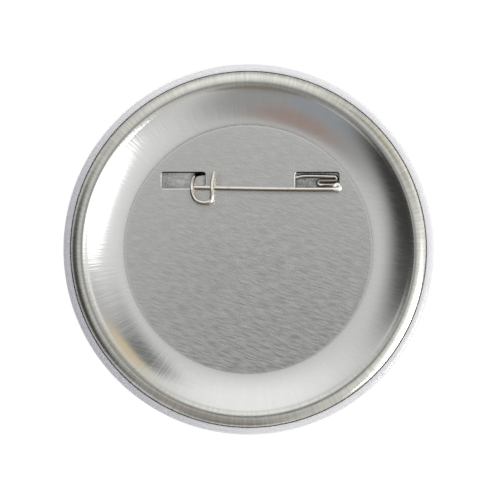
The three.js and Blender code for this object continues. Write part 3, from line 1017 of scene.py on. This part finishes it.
class BADGE_OT_front_layers(Operator):
    """Press the domed shell and wrap the paper and the film round its curl"""

    bl_idname = "badge.front_layers"
    bl_label = "Shell, paper and film"

    def execute(self, context):
        front, finishes = context.scene.badge_front, context.scene.badge_finishes
        outer = front_outline(front)
        paper_in = front.film + front.gap
        shell_in = paper_in + front.paper + front.gap
        film, paper, shell = film_material(finishes), paper_material(finishes), shell_material(finishes)
        layers = (
            ("wrapped_film", "clear_film", "film", 0.0, front.film, film, front.pleat),
            ("wrapped_paper", "print_paper", "paper", paper_in, front.paper, paper, front.pleat),
            ("pressed_shell", "front_shell", "tinplate", shell_in, front.shell, shell, 0.0),
        )
        ways = [-way for way in side_ways(outer)]
        curl_start = len(outer) - 1 - CURL_STEPS
        shares = [max(0.0, (i - curl_start) / CURL_STEPS) ** PLEAT_GROWTH for i in range(len(outer))]
        for name, node, slot, inset, thickness, material, ripple in layers:
            outline = wall(moved(outer, inset + thickness), moved(outer, inset))
            outline[-1].x = 0
            cut = len(outline) - 2 * len(outer)
            all_ways = ways + [ways[-1]] * cut + list(reversed(ways))
            all_shares = shares + [shares[-1]] * cut + list(reversed(shares))
            piece = turned_piece(name, outline, front.segments, material, ripple, all_shares, all_ways)
            on_badge(piece, node)
        return {"FINISHED"}


class BADGE_OT_pin(Operator):
    """Bend the pin: hook, spine, fold and coil, and the needle that swings"""

    bl_idname = "badge.pin"
    bl_label = "Pin"

    def execute(self, context):
        wire, plate = context.scene.badge_wire, context.scene.badge_plate
        material = wire_material(context.scene.badge_finishes, wire, plate)
        radius = wire.diameter / 2
        points = fixed_line(wire, plate)
        growth = (1 - wire.tail_share) / TAIL_STEPS
        shares = [min(1.0, wire.tail_share + growth * i) for i in range(len(points))]
        piece = wire_piece("bent_wire", points, radius, wire.sides, material, shares)
        on_badge(piece, "pin_wire")
        points, shares = needle_line(wire, plate)
        shaft = wire_piece("swinging_needle", points, radius, wire.sides, material, shares)
        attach(shaft, "needle")
        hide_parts("needle")
        return {"FINISHED"}


# Stage

# Soft cards round the badge: where they stand on the clock face seen from the camera (degrees, clockwise
# from the right), how far they lean away from the camera's own direction, how far they reach, how wide their
# soft edge is, all in degrees, and their light.
CARDS = (
    ("left side", 172, 72, 14, 18, (0.06, 0.06, 0.057)),
    ("right side", 8, 112, 35, 22, (1.3, 1.3, 1.31)),
    ("upper wash", 268, 52, 9, 32, (1.27, 1.27, 1.27)),
    ("lower wall", 112, 50, 20, 20, (0.44, 0.44, 0.44)),
    ("table edge", 95, 78, 12, 11, (0.3, 0.275, 0.24)),
    ("floor glow", 84, 124, 14, 14, (1.3, 1.3, 1.3)),
    ("low warm patch", 110, 33, 6, 8, (0.47, 0.36, 0.33)),
    ("low cool patch", 118, 57, 8, 8, (0.42, 0.44, 0.485)),
    ("left flag", 182, 60, 10, 26, (0.11, 0.11, 0.108)),
    ("lower left flag", 158, 68, 14, 18, (0.06, 0.06, 0.058)),
    ("upper right gap", 331, 44, 9, 14, (0.42, 0.42, 0.425)),
    ("upper right shadow", 316, 45, 4.5, 10, (0.22, 0.225, 0.23)),
    ("side gap", 343, 50, 8, 10, (0.56, 0.56, 0.565)),
    ("warm lamp", 321, 61, 6, 7, (0.92, 0.77, 0.5)),
    ("window halo", 18, 45, 10, 30, (1.12, 1.12, 1.12)),
    ("window", 19, 58, 15, 7, (2.6, 2.6, 2.6)),
    ("lamp", 31, 88, 12, 9, (17, 17, 17)),
    ("front window", 235, 140, 12, 8, (2.4, 2.4, 2.4)),
    ("front lamp", 318, 128, 8, 8, (3, 3, 2.95)),
    ("side lamp", 25, 131, 3.5, 3, (8, 8, 8)),
    ("camera side", 0, 0, 10, 10, (0.75, 0.75, 0.745)),
    ("camera", 79, 7, 3, 8, (0.08, 0.088, 0.08)),
)
ROOM = (0.86, 0.86, 0.86)  # light of the rest of the room
BEHIND = (0.62, 0.62, 0.63)  # and of its part behind the badge
CAMERA_SEES = (0.01, 20.0)  # from, to, in metres


def direction(clock, lean):
    """The way out of the badge's back that a card stands in."""
    clock, lean = radians(clock), radians(lean)
    return Vector((sin(lean) * cos(clock), -cos(lean), -sin(lean) * sin(clock)))


def studio_world():
    """An even white backdrop for the camera, and a room of soft cards for everything that reflects."""
    world = bpy.data.worlds.new("Studio")
    world.use_nodes = True
    tree = world.node_tree
    tree.nodes.clear()
    ray = coordinates(tree, "Generated")
    light = blend(tree, between(tree, axes(tree, ray)["Y"], -0.2, 0.5), ROOM, BEHIND)
    for _label, clock, lean, reach, edge, glow in CARDS:
        away = calc(tree, "ARCCOSINE", measured(tree, "DOT_PRODUCT", ray, direction(clock, lean)))
        share = between(tree, away, radians(reach + edge), radians(reach))
        light = blend(tree, share, light, glow)
    seen = add(tree, "ShaderNodeLightPath").outputs["Is Camera Ray"]
    room = output(tree, "ShaderNodeBackground", {"Color": light, "Strength": 1.0})
    white = output(tree, "ShaderNodeBackground", {"Color": (1, 1, 1, 1), "Strength": 1.0})
    both = output(tree, "ShaderNodeMixShader", {0: seen, 1: room, 2: white})
    add(tree, "ShaderNodeOutputWorld", {"Surface": both})
    return world


class BADGE_OT_stage(Operator):
    """Set the camera, the soft light and the pale floor"""

    bl_idname = "badge.stage"
    bl_label = "Stage"

    def execute(self, context):
        stage = context.scene.badge_stage
        data = bpy.data.cameras.new("Camera")
        data.lens = data.sensor_width * (stage.distance + FILM_LOW.y) / stage.view_width
        data.clip_start, data.clip_end = CAMERA_SEES
        camera = linked("Camera", data)
        camera.location = (stage.off_right, -stage.distance, -stage.off_down)
        camera.rotation_euler = (pi / 2, 0, 0)
        context.scene.camera = camera
        context.scene.world = studio_world()
        context.scene.view_settings.view_transform = "Standard"
        disc = bmesh.new()
        bmesh.ops.create_circle(disc, cap_ends=True, segments=FLOOR_STEPS, radius=stage.floor_radius)
        bmesh.ops.transform(disc, matrix=Matrix.Translation((0, 0, -stage.floor_drop)), verts=disc.verts)
        mesh = bpy.data.meshes.new("floor")
        disc.to_mesh(mesh)
        disc.free()
        mesh.materials.append(floor_material())
        floor = linked("floor", mesh)
        floor.visible_glossy = False
        return {"FINISHED"}


OPERATORS = (BADGE_OT_back_plate, BADGE_OT_front_layers, BADGE_OT_pin, BADGE_OT_stage)
GROUPS = {
    "badge_plate": BadgePlateSizes,
    "badge_front": BadgeFrontSizes,
    "badge_wire": BadgeWireSizes,
    "badge_finishes": BadgeFinishes,
    "badge_stage": BadgeStageSettings,
}


class BADGE_PT_sidebar(bpy.types.Panel):
    """Lists the badge's pieces and their sizes"""

    bl_label = "Button badge"
    bl_idname = "BADGE_PT_sidebar"
    bl_space_type = "VIEW_3D"
    bl_region_type = "UI"
    bl_category = "Badge"

    def draw(self, context):
        for operator in OPERATORS:
            self.layout.operator(operator.bl_idname)
        for name, group in GROUPS.items():
            box = self.layout.box()
            for key in group.__annotations__:
                box.prop(getattr(context.scene, name), key)


def register():
    for group in GROUPS.values():
        bpy.utils.register_class(group)
    for name, group in GROUPS.items():
        setattr(bpy.types.Scene, name, PointerProperty(type=group))
    for cls in (*OPERATORS, BADGE_PT_sidebar):
        bpy.utils.register_class(cls)


def unregister():
    for cls in reversed((*OPERATORS, BADGE_PT_sidebar)):
        bpy.utils.unregister_class(cls)
    for name, group in GROUPS.items():
        delattr(bpy.types.Scene, name)
        bpy.utils.unregister_class(group)


def main():
    register()
    bpy.ops.badge.back_plate()
    bpy.ops.badge.front_layers()
    bpy.ops.badge.pin()
    bpy.ops.badge.stage()


if __name__ == "__main__":
    main()
